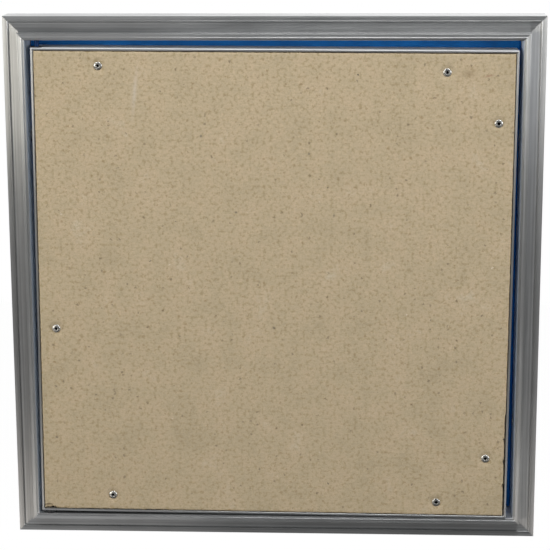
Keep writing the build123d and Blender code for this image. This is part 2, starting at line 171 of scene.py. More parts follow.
background = add_node(sky, "Background", Color=sky_colour, Strength=1.0)
add_node(sky, "OutputWorld", Surface=background.outputs[0])
print("the room's tones:", [tone for place, tone in ROOM_TONES], "and low down", LOW_TONE)

# %% [markdown]
# ## The floor
# The panel hangs as it does in a wall, above a pale floor that catches its shadow. The floor glows
# as white as the world where the camera looks straight at it or sees it in a reflection, so that no
# horizon shows, and keeps a little of the paint below the glow, which the shadow falls on.

# %% Floor
FLOOR_LEVEL = -0.75
FLOOR_GLOW, FLOOR_GLOW_SHARE = 1.03, 0.9
bpy.ops.object.select_all(action="DESELECT")
bpy.ops.mesh.primitive_plane_add(size=3.0, location=(0.0, 1.55, FLOOR_LEVEL))
floor = bpy.context.active_object
floor.name = "floor"
floor_material, tree = new_material("painted floor, white")
paint = add_node(tree, "BsdfDiffuse", Color=linear("#F2F2F2"))
glow = add_node(tree, "Emission", Color=linear("#FFFFFF"), Strength=FLOOR_GLOW)
path = add_node(tree, "LightPath")
mirrored = add_node(tree, "Math", {"operation": "MAXIMUM"}, i0=path.outputs["Is Camera Ray"],
                    i1=path.outputs["Is Glossy Ray"]).outputs[0]
through = add_node(tree, "Math", {"operation": "MAXIMUM"}, i0=mirrored,
                   i1=path.outputs["Is Transmission Ray"]).outputs[0]
share = add_node(tree, "Math", {"operation": "MULTIPLY"}, i0=through, i1=FLOOR_GLOW_SHARE).outputs[0]
painted = add_node(tree, "MixShader", i0=share, i1=paint.outputs[0], i2=glow.outputs[0])
add_node(tree, "OutputMaterial", Surface=painted.outputs[0])
floor.data.materials.append(floor_material)
print("the floor is", FLOOR_LEVEL, "m high")

# %% [markdown]
# ## The lamps
# Bright windows stand far to both sides and two key lamps high in front. Die lines that run up the
# uprights spread a reflection sideways, so these see the windows, and lines along the level rails
# spread it up and down. Weak lights near the floor keep the lower parts of the rails from going
# dull.

# %% Lamps


def add_lamp(name, place, aim, width, height, watts, colour):
    """A soft rectangular lamp that looks from its place at a point."""
    data = bpy.data.lights.new(name, "AREA")
    data.shape = "RECTANGLE"
    data.size, data.size_y = width, height
    data.energy = watts
    data.color = linear(colour)[:3]
    lamp = bpy.data.objects.new(name, data)
    scene.collection.objects.link(lamp)
    lamp.location = place
    lamp.rotation_euler = (Vector(aim) - Vector(place)).to_track_quat("-Z", "Y").to_euler()
    return lamp


# Name, place and aim in metres, width and height in metres, watts, and colour.
LAMPS = [
    ("overhead softbox", (0.25, -0.6, 1.5), (0.0, 0.0, 0.0), 1.0, 0.5, 5.0, "#FFFFFF"),
    ("key lamp, left", (-1.3, -1.5, 1.9), (0.0, 0.0, 0.0), 0.7, 0.7, 14.0, "#FFFFFF"),
    ("key lamp, right", (1.3, -1.5, 1.9), (0.0, 0.0, 0.0), 0.7, 0.7, 16.0, "#FFFFFF"),
    ("left window", (-1.45, -1.75, 0.34), (-0.15, 0.0, 0.15), 1.0, 1.15, 9.6, "#FFF8E8"),
    ("right window", (1.65, -1.75, 0.33), (0.15, 0.0, 0.15), 1.0, 1.18, 4.4, "#F8FAFF"),
    ("far left window", (-2.4, -0.9, 0.46), (0.0, 0.0, 0.1), 1.9, 1.0, 16.5, "#FFFFFF"),
    ("far right window", (2.4, -0.9, 0.46), (0.0, 0.0, 0.1), 1.9, 1.0, 21.0, "#FFFFFF"),
    ("low left fill", (-0.42, -1.9, -0.45), (-0.15, 0.0, 0.0), 0.36, 1.0, 0.35, "#FFF6F0"),
    ("left floor light", (-1.3, -1.5, -1.05), (-0.15, 0.0, -0.15), 1.0, 0.5, 2.5, "#FFF6EC"),
    ("right floor light", (1.5, -1.5, -1.05), (0.15, 0.0, -0.15), 1.0, 0.5, 1.6, "#FFFCF8"),
]
for lamp in LAMPS:
    add_lamp(*lamp)

# %% [markdown]
# ## Extruded aluminium, mill finish
# Mill finish is aluminium as it leaves the extrusion die, neither polished nor coated. The die
# drags fine lines along the whole length, handling leaves faint clouds, and the thin oxide makes
# it a soft grey mirror. The lines are drawn about 0.4 mm apart, coarser than real die lines, so
# that they show at this size. An image of brushed metal would repeat and blur here, so stretched
# noise draws the lines. Where the profile has a bead, a brighter streak is painted along the whole
# frame: a painted highlight for the lamps that the bead catches. A pale matt coat is painted light:
# in the upright reveals it stands for their lit, blue-tinged face, and on the leaf's top faces for
# the bright highlight along them.

# %% Painted highlight streaks and the reveal
# Where each painted highlight streak lies, in mm from the frame's centre, and how bright it is next to the
# rest.
PAINTED_BEAD_HIGHLIGHTS = [(183.0, 1.00), (184.2, 1.10), (185.4, 1.45), (186.6, 1.28), (187.6, 1.02), (191.2, 1.00),
               (192.3, 1.14), (193.4, 1.02), (194.6, 1.45), (195.6, 1.15), (197.2, 1.00), (198.6, 1.20)]
FIRST_HIGHLIGHT_MM, LAST_HIGHLIGHT_MM = PAINTED_BEAD_HIGHLIGHTS[0][0], PAINTED_BEAD_HIGHLIGHTS[-1][0]
REVEAL_MM = 183.0
# Black is no change on the ramp, so each stop holds how much a painted highlight streak adds.
highlight_stops = [((distance - FIRST_HIGHLIGHT_MM) / (LAST_HIGHLIGHT_MM - FIRST_HIGHLIGHT_MM), (gain - 1.0,) * 3 + (1.0,))
                for distance, gain in PAINTED_BEAD_HIGHLIGHTS]
print(len(PAINTED_BEAD_HIGHLIGHTS), "die streaks over", round(LAST_HIGHLIGHT_MM - FIRST_HIGHLIGHT_MM, 1), "mm")

# %% Aluminium material


def die_marks(tree, place, along):
    """Fine die lines, and a brightness about 1 that adds broad bands and handling clouds to them."""
    stretch = (12.0, 900.0, 900.0) if along == "X" else (900.0, 900.0, 12.0)
    lined = add_node(tree, "Mapping", Vector=place, Scale=stretch).outputs[0]
    lines = add_node(tree, "TexNoise", Vector=lined, Scale=1.0, Detail=4.0, Roughness=0.6).outputs["Fac"]
    broad_stretch = (3.0, 160.0, 160.0) if along == "X" else (160.0, 160.0, 3.0)
    broad = add_node(tree, "Mapping", Vector=place, Scale=broad_stretch).outputs[0]
    bands = add_node(tree, "TexNoise", Vector=broad, Scale=1.0, Detail=2.0).outputs["Fac"]
    clouds = add_node(tree, "TexNoise", Vector=place, Scale=22.0, Detail=3.0, Roughness=0.6).outputs["Fac"]
    brightness = 1.0
    for marks, low, high, strength in ((lines, 0.35, 0.65, 0.10), (bands, 0.35, 0.65, 0.12),
                                       (clouds, 0.3, 0.7, 0.06)):
        change = add_node(tree, "MapRange", i0=marks, i1=low, i2=high, i3=-strength, i4=strength).outputs[0]
        brightness = add_node(tree, "Math", {"operation": "ADD"}, i0=brightness, i1=change).outputs[0]
    return lines, brightness


def painted_pale_coat(tree, shader, coat_share, colour):
    """Mix a pale matt coat of painted light over a shader where the share is 1."""
    pale_coat = add_node(tree, "BsdfPrincipled", Base_Color=linear(colour), Roughness=0.9)
    return add_node(tree, "MixShader", i0=coat_share, i1=shader.outputs[0], i2=pale_coat.outputs[0])


def extruded_aluminium(name, along, base="#CBCCCC", roughness=0.32, bead_highlights=False, pale_coat_on=None):
    """Aluminium with die lines along one axis, 'X' or 'Z', and, where asked, painted highlight streaks along
    the frame's beads.

    A pale matt coat of painted light lies on its 'tops', the faces that look up, as a painted highlight, or
    in its 'reveal' beside the leaf, for the lit face and its blue reflection there."""
    material, tree = new_material(name)
    place = add_node(tree, "TexCoord").outputs["Object"]
    parts = add_node(tree, "SeparateXYZ", Vector=place)
    across = add_node(tree, "Math", {"operation": "ABSOLUTE"},
                      i0=parts.outputs["Z" if along == "X" else "X"]).outputs[0]
    lines, brightness = die_marks(tree, place, along)
    # Painted highlights: the ramp brightens the metal along the beads, where the lamps would glint.
    if bead_highlights:
        spot = add_node(tree, "MapRange", i0=across, i1=FIRST_HIGHLIGHT_MM * MM, i2=LAST_HIGHLIGHT_MM * MM).outputs[0]
        highlight_gain = add_node(tree, "ValToRGB", {"stops": highlight_stops}, Fac=spot).outputs["Color"]
        lit_gain = add_node(tree, "Math", {"operation": "ADD"}, i0=highlight_gain, i1=1.0).outputs[0]
        brightness = add_node(tree, "Math", {"operation": "MULTIPLY"}, i0=brightness, i1=lit_gain).outputs[0]
    colour = add_node(tree, "Mix", {"data_type": "RGBA", "blend_type": "MULTIPLY"}, i0=1.0,
                      i6=linear(base), i7=brightness).outputs[2]
    rough = add_node(tree, "MapRange", i0=lines, i1=0.3, i2=0.7, i3=roughness - 0.04,
                     i4=roughness + 0.04).outputs[0]
    bump = add_node(tree, "Bump", Strength=0.25, Distance=0.04 * MM, Height=lines).outputs[0]
    die_way = add_node(tree, "CombineXYZ", X=float(along == "X"), Z=float(along == "Z")).outputs[0]
    die_way = add_node(tree, "VectorTransform", {"convert_from": "OBJECT", "convert_to": "WORLD",
                                                 "vector_type": "VECTOR"}, Vector=die_way).outputs[0]
    shader = add_node(tree, "BsdfPrincipled", Base_Color=colour, Metallic=1.0, Roughness=rough, Normal=bump,
                      Anisotropic=1.0, Anisotropic_Rotation=0.25, Tangent=die_way)
    # Painted highlight: a near-white matt coat on the faces that look up.
    if pale_coat_on == "tops":
        normal = add_node(tree, "TexCoord").outputs["Normal"]
        upwards = add_node(tree, "SeparateXYZ", Vector=normal).outputs["Z"]
        coat_share = add_node(tree, "MapRange", i0=upwards, i1=0.30, i2=0.60, i3=0.0, i4=0.92).outputs[0]
        shader = painted_pale_coat(tree, shader, coat_share, "#F6F7F8")
    # Painted light: a pale bluish matt coat on the reveal face, fuller deeper in, for its lit face and blue
    # reflection.
    if pale_coat_on == "reveal":
        past = add_node(tree, "Math", {"operation": "SUBTRACT"}, i0=across, i1=REVEAL_MM * MM).outputs[0]
        away = add_node(tree, "Math", {"operation": "ABSOLUTE"}, i0=past).outputs[0]
        near = add_node(tree, "MapRange", i0=away, i1=0.03 * MM, i2=0.30 * MM, i3=1.0, i4=0.0).outputs[0]
        deep = add_node(tree, "MapRange", i0=parts.outputs["Y"], i1=1.0 * MM, i2=7.0 * MM, i3=0.20,
                        i4=1.0).outputs[0]
        coat_share = add_node(tree, "Math", {"operation": "MULTIPLY"}, i0=near, i1=deep).outputs[0]
        shader = painted_pale_coat(tree, shader, coat_share, "#DCE8F8")
    add_node(tree, "OutputMaterial", Surface=shader.outputs[0])
    return material


level_aluminium = extruded_aluminium("extruded aluminium, level rails", "X", bead_highlights=True)
# The uprights' reveals carry the painted light of the pale coat.
upright_aluminium = extruded_aluminium("extruded aluminium, upright rails", "Z", bead_highlights=True,
                                       pale_coat_on="reveal")
leaf_level = extruded_aluminium("extruded aluminium, leaf bottom rail", "X", "#D6D8D9", 0.30)
# The leaf's top rail carries a painted highlight on its upward faces.
leaf_top_highlit = extruded_aluminium("extruded aluminium, leaf top rail", "X", "#D6D8D9", 0.30, pale_coat_on="tops")
leaf_upright = extruded_aluminium("extruded aluminium, leaf upright rails", "Z", "#D6D8D9", 0.30)
print(len(bpy.data.materials), "materials so far")

# %% [markdown]
# ## Gypsum fibreboard
# The board is pressed from gypsum and shredded recycled paper. Its sanded face is a warm buff,
# with brown and grey fibre specks one or two millimetres across and softer cloudy patches.

# %% Fibreboard material


def specks(tree, place, spacing_mm, radius_share, kept_share):
    """Round specks, one in some of the cells of a pattern with this spacing: 1 inside a speck."""
    cells = add_node(tree, "TexVoronoi", Vector=place, Scale=1.0 / (spacing_mm * MM), Randomness=1.0)
    near = add_node(tree, "MapRange", i0=cells.outputs["Distance"], i1=radius_share * 0.6, i2=radius_share,
                    i3=1.0, i4=0.0).outputs[0]
    draw = add_node(tree, "SeparateColor", Color=cells.outputs["Color"]).outputs[0]
    kept = add_node(tree, "MapRange", i0=draw, i1=kept_share, i2=kept_share + 0.02, i3=1.0, i4=0.0).outputs[0]
    return add_node(tree, "Math", {"operation": "MULTIPLY"}, i0=near, i1=kept).outputs[0]


def smudge(tree, place, centre_mm, half_size_mm, turned_deg):
    """A soft oval mark on the board's face: 1 in its middle, fading to 0 at its rim."""
    across, up = centre_mm
    wide, tall = half_size_mm
    turned_back = add_node(tree, "Mapping", {"vector_type": "TEXTURE"}, Vector=place,
                           Location=(across * MM, 0.0, up * MM), Scale=(wide * MM, 0.02, tall * MM),
                           Rotation=(0.0, math.radians(turned_deg), 0.0)).outputs[0]
    return add_node(tree, "TexGradient", {"gradient_type": "QUADRATIC_SPHERE"}, Vector=turned_back).outputs[1]


def toned(tree, ground, factor, strength, colour):
    """Mix a colour into the ground by a factor times a strength."""
    share = add_node(tree, "Math", {"operation": "MULTIPLY"}, i0=factor, i1=strength).outputs[0]
    return add_node(tree, "Mix", {"data_type": "RGBA"}, i0=share, i6=ground, i7=linear(colour)).outputs[2]


def shaded(tree, ground, factor, span, tones):
    """Multiply the ground by a tone that runs from one value to another over a factor's span."""
    tone = add_node(tree, "MapRange", i0=factor, i1=span[0], i2=span[1], i3=tones[0], i4=tones[1]).outputs[0]
    return add_node(tree, "Mix", {"data_type": "RGBA", "blend_type": "MULTIPLY"}, i0=1.0, i6=ground,
                    i7=tone).outputs[2]


# %% Marks, clouds and specks of the board
BOARD_CLOUDS = [(0.30, "#B9A98C"), (0.48, "#C1B092"), (0.60, "#C5B294"), (0.72, "#C9BBA1")]
# Specks: spacing in mm, radius and kept share of the cells, then strength and colour.
BOARD_SPECKS = [(4.0, 0.26, 0.40, 0.36, "#86693A"), (6.5, 0.17, 0.35, 0.50, "#55452F"),
                (19.0, 0.050, 0.30, 0.85, "#3A3833"), (16.0, 0.06, 0.25, 0.6, "#E2DACA")]
# Chance marks: place and half size in mm, turn in degrees, then strength and colour.
MARKS_ON_BOARD = [
    ((-101.8, 145.0), (3.2, 30.0), 6.0, 0.5, "#D6CFC4"), ((143.0, 159.0), (11.0, 6.5), 0.0, 0.55, "#857150"),
    ((157.8, 157.4), (7.0, 1.4), -14.0, 0.7, "#9A6A52"), ((-53.1, 112.7), (1.8, 1.8), 0.0, 1.0, "#3A3934"),
    ((0.3, -33.2), (2.4, 1.7), 20.0, 1.0, "#33322E"), ((26.7, 99.6), (1.6, 1.7), 0.0, 1.0, "#45433C"),
    ((-27.7, 55.4), (1.9, 1.6), 0.0, 1.0, "#4A463C"), ((45.3, 53.5), (1.5, 2.2), 0.0, 0.9, "#5A5446"),
    ((-44.9, 48.8), (1.3, 2.6), 30.0, 0.8, "#6A6048"), ((-167.1, -121.0), (2.2, 1.4), 0.0, 1.0, "#3F3B31"),
    ((127.4, -180.6), (6.5, 1.3), 0.0, 0.9, "#EDE6D8"), ((132.8, -179.4), (1.6, 1.0), 0.0, 0.8, "#4A4336")]
print(len(BOARD_SPECKS), "kinds of specks and", len(MARKS_ON_BOARD), "chance marks")

# %% Fibreboard


def fibreboard():
    """Sanded gypsum fibreboard, painted a little darker towards its lower edge as shade from the lamps above.
    """
    material, tree = new_material("gypsum fibreboard, sanded")
    place = add_node(tree, "TexCoord").outputs["Object"]
    clouds = add_node(tree, "TexNoise", Vector=place, Scale=38.0, Detail=5.0, Roughness=0.65).outputs["Fac"]
    ground = add_node(tree, "ValToRGB", {"stops": [(spot, linear(tone)) for spot, tone in BOARD_CLOUDS]},
                      Fac=clouds).outputs["Color"]
    height = add_node(tree, "SeparateXYZ", Vector=place).outputs["Z"]
    # Painted shade: darker towards the lower edge, as the light comes from above.
    ground = shaded(tree, ground, height, (-0.19, 0.17), (0.90, 1.02))
    fine = add_node(tree, "TexNoise", Vector=place, Scale=900.0, Detail=3.0, Roughness=0.7).outputs["Fac"]
    matted = add_node(tree, "Mapping", Vector=place, Scale=(220.0, 900.0, 620.0)).outputs[0]
    fibres = add_node(tree, "TexNoise", Vector=matted, Scale=1.0, Detail=4.0, Roughness=0.7).outputs["Fac"]
    ground = shaded(tree, ground, fine, (0.3, 0.7), (0.88, 1.10))
    ground = shaded(tree, ground, fibres, (0.3, 0.7), (0.90, 1.08))
    wisps = add_node(tree, "TexNoise", Vector=place, Scale=380.0, Detail=3.0, Roughness=0.6).outputs["Fac"]
    wispy = add_node(tree, "MapRange", i0=wisps, i1=0.50, i2=0.66).outputs[0]
    ground = toned(tree, ground, wispy, 0.42, "#8A7544")
    strewn = add_node(tree, "TexNoise", Vector=place, Scale=700.0, Detail=2.0).outputs["Color"]
    ragged = add_node(tree, "Mix", {"data_type": "RGBA", "blend_type": "LINEAR_LIGHT", "clamp_factor": False},
                      i0=0.0016, i6=place, i7=strewn).outputs[2]
    for spacing_mm, radius_share, kept_share, strength, colour in BOARD_SPECKS:
        strewn_specks = specks(tree, ragged, spacing_mm, radius_share, kept_share)
        ground = toned(tree, ground, strewn_specks, strength, colour)
    for centre, half_size, turned_deg, strength, colour in MARKS_ON_BOARD:
        ground = toned(tree, ground, smudge(tree, place, centre, half_size, turned_deg), strength, colour)
    bump = add_node(tree, "Bump", Strength=0.45, Distance=0.12 * MM, Height=fibres).outputs[0]
    shader = add_node(tree, "BsdfPrincipled", Base_Color=ground, Roughness=0.92, Normal=bump)
    add_node(tree, "OutputMaterial", Surface=shader.outputs[0])
    return material


board_finish = fibreboard()
print(board_finish.name, "has", len(board_finish.node_tree.nodes), "nodes")

# %% [markdown]
# ## Plated steel, plastic and foam
# The screws and strike plates are zinc-plated steel, which looks a dull silver. The pivot bars and
# pins are blued steel: an oxide grown by heat gives it a dark blue skin. The latch boxes are
# moulded plastic with a fine grain, and the seal on the stop is deep blue foam rubber. All of them
# drift a little between two close colours, so one function makes them. Inside a rivet's bore a
# matt near-black is painted: painted shade for the deep, narrow hole.

# %% Other materials


def mottled(name, light, dark, metallic, roughness, grain_mm, bump_depth_mm, bore=False):
    """A material whose tone and roughness drift between two close colours over a grain size.

    With bore it is painted near-black where the piece's own attribute says: painted shade inside a rivet's
    bore."""
    material, tree = new_material(name)
    place = add_node(tree, "TexCoord").outputs["Object"]
    grain = add_node(tree, "TexNoise", Vector=place, Scale=1.0 / (grain_mm * MM), Detail=3.0,
                     Roughness=0.6).outputs["Fac"]
    drift = add_node(tree, "TexNoise", Vector=place, Scale=60.0, Detail=2.0).outputs["Fac"]
    drifting = add_node(tree, "MapRange", i0=drift, i1=0.3, i2=0.7, i3=0.0, i4=0.5).outputs[0]
    blend = add_node(tree, "Math", {"operation": "MULTIPLY_ADD"}, i0=grain, i1=0.5, i2=drifting).outputs[0]
    colour = add_node(tree, "ValToRGB", {"stops": [(0.25, linear(dark)), (0.75, linear(light))]},
                      Fac=blend).outputs["Color"]
    rough = add_node(tree, "MapRange", i0=grain, i1=0.3, i2=0.7, i3=roughness - 0.05,
                     i4=roughness + 0.07).outputs[0]
    bump = add_node(tree, "Bump", Strength=0.5, Distance=bump_depth_mm * MM, Height=grain).outputs[0]
    shader = add_node(tree, "BsdfPrincipled", Base_Color=colour, Metallic=metallic, Roughness=rough,
                      Normal=bump)
    # Painted shade: matt near-black where the bore attribute marks the inside of the bore.
    if bore:
        bore_share = add_node(tree, "Attribute", {"attribute_name": "bore"}).outputs["Fac"]
        bore_shade = add_node(tree, "BsdfPrincipled", Base_Color=linear("#0B0B0C"), Roughness=0.95)
        shader = add_node(tree, "MixShader", i0=bore_share, i1=shader.outputs[0], i2=bore_shade.outputs[0])
    add_node(tree, "OutputMaterial", Surface=shader.outputs[0])
    return material


# Lighter and darker colour, metallic, roughness, grain size and depth of the bump in mm.
zinc = mottled("zinc-plated steel", "#C9CAC6", "#A9ABA9", 1.0, 0.34, 1.5, 0.01)
sawn_aluminium = mottled("sawn aluminium", "#BFC1C2", "#A2A4A6", 1.0, 0.45, 0.8, 0.02)
rivet_metal = mottled("rivet aluminium", "#CFCEC9", "#A6A5A1", 1.0, 0.26, 0.6, 0.01, bore=True)
nylon = mottled("natural nylon", "#DAD7C9", "#C9C5B5", 0.0, 0.5, 0.8, 0.01)
box_plastic = mottled("moulded plastic, dark grey", "#46484B", "#3A3C3F", 0.0, 0.55, 0.5, 0.02)
nickel = mottled("nickel plate", "#C9C8C4", "#B5B4AF", 1.0, 0.18, 0.8, 0.004)
spring_steel = mottled("drawn spring steel", "#A8A9A8", "#8F9090", 1.0, 0.3, 0.6, 0.01)
foam = mottled("foam rubber, deep blue", "#1E92F2", "#1880DC", 0.0, 0.8, 0.6, 0.06)
blued_steel = mottled("blued steel", "#2A4470", "#1E3358", 1.0, 0.55, 0.6, 0.01)
black_nylon = mottled("moulded nylon, black", "#26272A", "#1C1D1F", 0.0, 0.45, 0.5, 0.01)
print("materials:", [material.name for material in bpy.data.materials])

# %% [markdown]
# ## A finish for every CAD node
# The CAD record names a material slot for each node, so a table from slot to finish covers all of
# them. Only the aluminium rails need a look at the node's name too, because the die lines run
# along a rail: sideways on a level one and upwards on an upright.

# %% Finish of each slot
finish_of_slot = {
    "cleat_metal": sawn_aluminium, "board": board_finish, "rivet_aluminium": rivet_metal,
    "screw_steel": zinc, "strike_steel": zinc, "pivot_steel": blued_steel, "bush_plastic": black_nylon,
    "latch_plastic": box_plastic, "plunger_plastic": nylon, "magnet_metal": nickel,
    "spring_steel": spring_steel, "seal_rubber": foam}
slot_of_node = {row["node"]: row["material_slot"] for row in frame["record"]["subparts"]}
for name, node in frame["nodes"].items():
    level = "top" in name or "bottom" in name
    if slot_of_node[name] == "frame_aluminium":
        finish = level_aluminium if level else upright_aluminium
    elif slot_of_node[name] != "leaf_aluminium":
        finish = finish_of_slot[slot_of_node[name]]
    elif level:
        # The leaf's top rail gets the material with the painted highlight.
        finish = leaf_top_highlit if "top" in name else leaf_level
    else:
        finish = leaf_upright
    for slot in node.material_slots:
        slot.material = finish
print(len(frame["nodes"]), "nodes have a finish")


# %% [markdown]
# ## Modelling helpers
# Operators work on whatever is selected, so each piece starts with nothing selected. A finished
# piece gets its name and finish, and rides on the body that carries it.

# %% Select and settle


def select_only(piece):
    """Select one piece and make it the active one."""
    bpy.ops.object.select_all(action="DESELECT")
    piece.select_set(True)
    bpy.context.view_layer.objects.active = piece


def settle(piece, name, body, slot, finish, *nodes):
    """Apply a piece's place, then name it, give it its finish and let it ride on its body."""
    select_only(piece)
    bpy.ops.object.transform_apply(location=True, rotation=True, scale=True)
    piece.name = piece.data.name = name
    piece.data.materials.clear()
    piece.data.materials.append(finish)
    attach(piece, body)
    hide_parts(*nodes)
    print(name, "has", sum(len(face.vertices) - 2 for face in piece.data.polygons), "triangles")
    return piece


# %% [markdown]
# A CAD node that holds several equal fasteners is taken apart only to read where each of them
# stands. The parts are copies, and are thrown away once they are measured.

# %% Where the solids of a node stand


def boxes_of_solids(node_name):
    """The lowest and highest corner of each separate solid in a CAD node."""
    copy = bpy.data.objects.new("sorting", frame["nodes"][node_name].data.copy())
    scene.collection.objects.link(copy)
    copy.matrix_world = frame["nodes"][node_name].matrix_world
    select_only(copy)
    bpy.ops.object.transform_apply(location=True, rotation=True, scale=True)
    bpy.ops.object.mode_set(mode="EDIT")
    bpy.ops.mesh.select_all(action="SELECT")
    bpy.ops.mesh.remove_doubles(threshold=0.01 * MM)
    bpy.ops.mesh.separate(type="LOOSE")
    bpy.ops.object.mode_set(mode="OBJECT")
    boxes = []
    for solid in list(bpy.context.selected_objects):
        places = [vertex.co for vertex in solid.data.vertices]
        boxes.append((Vector([min(place[axis] for place in places) for axis in range(3)]),
                      Vector([max(place[axis] for place in places) for axis in range(3)])))
        bpy.data.objects.remove(solid)
    return sorted(boxes, key=lambda box: tuple(box[0]))


print("solids in board_rivets:", len(boxes_of_solids("board_rivets")))

# %% [markdown]
# Screws and rivets are round, so they are turned as on a lathe: a disc is added, and its rings are
# extruded and scaled one after another. One is modelled, and the others are copies of it.

# %% Turn a piece and copy it


def turned(rings_mm, segments=32):
    """A closed piece turned about Z from (radius, height) rings, its ends filled with discs."""
    bpy.ops.object.select_all(action="DESELECT")
    radius, height = rings_mm[0]
    bpy.ops.mesh.primitive_circle_add(vertices=segments, radius=radius * MM, fill_type="NGON",
                                      location=(0.0, 0.0, height * MM))
    bpy.ops.object.mode_set(mode="EDIT")
    for next_radius, next_height in rings_mm[1:]:
        rise = (0.0, 0.0, (next_height - height) * MM)
        bpy.ops.mesh.extrude_region_move(TRANSFORM_OT_translate={"value": rise})
        share = next_radius / radius
        bpy.ops.transform.resize(value=(share, share, 1.0), center_override=(0.0, 0.0, next_height * MM))
        radius, height = next_radius, next_height
    bpy.ops.mesh.select_all(action="SELECT")
    bpy.ops.mesh.normals_make_consistent(inside=False)
    bpy.ops.object.mode_set(mode="OBJECT")
    piece = bpy.context.active_object
    bpy.ops.object.transform_apply(location=True, rotation=True, scale=True)
    bpy.ops.object.shade_smooth_by_angle(angle=math.radians(35.0))
    return piece


def copies_joined(model, places):
    """One piece made of copies of a model, one at each matrix. The model itself is used up."""
    copies = []
    for place in places:
        copy = bpy.data.objects.new("copy", model.data.copy())
        scene.collection.objects.link(copy)
        copy.data.transform(place)
        copies.append(copy)
    bpy.data.objects.remove(model)
    select_only(copies[0])
    for copy in copies:
        copy.select_set(True)
    bpy.ops.object.join()
    return bpy.context.active_object


def facing(origin, outwards):
    """A matrix that stands a turned piece at a place with its +Z pointing outwards."""
    return Matrix.Translation(origin) @ Vector(outwards).to_track_quat("Z", "Y").to_matrix().to_4x4()


print("a piece that faces the front is turned by:", facing((0, 0, 0), (0, -1, 0)).to_quaternion())

# %% [markdown]
# ## Blind rivets
# Seven aluminium blind rivets pull the board against the leaf's ledge. Each has a low dome with
# the bore left open by its snapped steel pin, which the picture shows as a black dot, and behind
# the ledge its tail has spread. Two go through a strike plate as well and are longer. A ring by
# ring turning gives the dome, the rolled lip of the bore and the tail in one closed skin.

# %% Blind rivets
RIVET_HEAD, RIVET_SHANK, RIVET_BORE = 3.2, 1.6, 0.95
RIVET_DENT = 0.9
BORE_REACH = 1.2
BORE_TOP, BORE_END = -0.1, -5.0
rivet_boxes = boxes_of_solids("board_rivets")
rivet_pieces = []
for low, high in rivet_boxes:
    tail = -high.y / MM
    # Radius and height in mm of each ring: the spread tail, the shank, the dome and the open bore.
    rivet = turned([(0.9, tail), (1.9, tail + 0.3), (2.35, tail + 1.1), (2.35, tail + 2.3),
                    (RIVET_SHANK, tail + 3.0), (RIVET_SHANK, -RIVET_DENT), (3.1, -RIVET_DENT),
                    (RIVET_HEAD, -0.72), (3.05, -0.46), (2.6, -0.20), (2.0, -0.03), (1.5, 0.04),
                    (1.25, -0.04), (1.1, -0.2), (RIVET_BORE, -0.5), (RIVET_BORE, -4.5), (0.75, -4.6),
                    (0.55, -4.4)])
    # The bore attribute marks where the painted shade inside the bore goes.
    inside = rivet.data.attributes.new("bore", "FLOAT", "POINT")
    for vertex, mark in zip(rivet.data.vertices, inside.data):
        in_bore = math.hypot(vertex.co.x, vertex.co.y) < BORE_REACH * MM
        mark.value = float(in_bore and BORE_END * MM < vertex.co.z < BORE_TOP * MM)
    centre = (low + high) / 2
    rivet.data.transform(facing(Vector((centre.x, 0.0, centre.z)), (0.0, -1.0, 0.0)))
    rivet_pieces.append(rivet)
select_only(rivet_pieces[0])
for rivet in rivet_pieces:
    rivet.select_set(True)
bpy.ops.object.join()
settle(bpy.context.active_object, "rivets_with_open_bores", "leaf", "rivet_aluminium", rivet_metal,
       "board_rivets")

# %% [markdown]
# ## Pan-head and countersunk screws
# Pan-head screws hold the corner cleats and the latch ears from behind, and small countersunk
# ones hold the pivot bars. The head is turned, and a cross recess is cut with a Boolean modifier
# whose cutter is two crossed bars. The threads are left off, since they are hidden in the metal.

# %% Screws


def cross_recess(screw, top_mm, width_mm, depth_mm):
    """Cut a cross recess into the top of a screw that stands along Z."""
    bars = []
    for turned_by in (0.0, 90.0):
        bpy.ops.object.select_all(action="DESELECT")
        bpy.ops.mesh.primitive_cube_add(size=1.0, location=(0.0, 0.0, top_mm * MM),
                                        rotation=(0.0, 0.0, math.radians(turned_by)),
                                        scale=(width_mm * MM, width_mm * 0.2 * MM, 2 * depth_mm * MM))
        # Only the lower face is drawn in, so that the bar narrows downwards.
        bpy.ops.object.mode_set(mode="EDIT")
        bpy.ops.mesh.select_all(action="DESELECT")
        bpy.ops.object.mode_set(mode="OBJECT")
        bar = bpy.context.active_object
        for face in bar.data.polygons:
            face.select = face.normal.z < -0.5
        bpy.ops.object.mode_set(mode="EDIT")
        bpy.ops.mesh.select_mode(type="FACE")
        bpy.ops.transform.resize(value=(0.55, 0.55, 1.0), center_override=(0.0, 0.0, 0.0))
        bpy.ops.object.mode_set(mode="OBJECT")
        bars.append(bar)
    for bar in bars:
        cut = screw.modifiers.new("recess", "BOOLEAN")
        cut.operation = "DIFFERENCE"
        cut.solver = "EXACT"
        cut.object = bar
        select_only(screw)
        bpy.ops.object.modifier_apply(modifier=cut.name)
        bpy.data.objects.remove(bar)
    return screw


def pan_head(radius, shank, length):
    """A pan-head screw whose head stands on the XY plane."""
    screw = turned([(shank * 0.3, -length), (shank, 1.6 - length), (shank, 0.0), (radius, 0.0),
                    (radius, radius * 0.28), (radius * 0.94, radius * 0.42), (radius * 0.8, radius * 0.53),
                    (radius * 0.5, radius * 0.6)], 28)
    return cross_recess(screw, radius * 0.6, radius * 1.1, 1.1)


def countersunk(radius, shank, length):
    """A countersunk screw whose head is flush with the XY plane."""
    screw = turned([(shank * 0.4, -length), (shank, 0.8 - length), (shank, -1.4), (radius, -0.12),
                    (radius, 0.0)], 28)
    return cross_recess(screw, 0.0, radius * 1.2, 0.9)


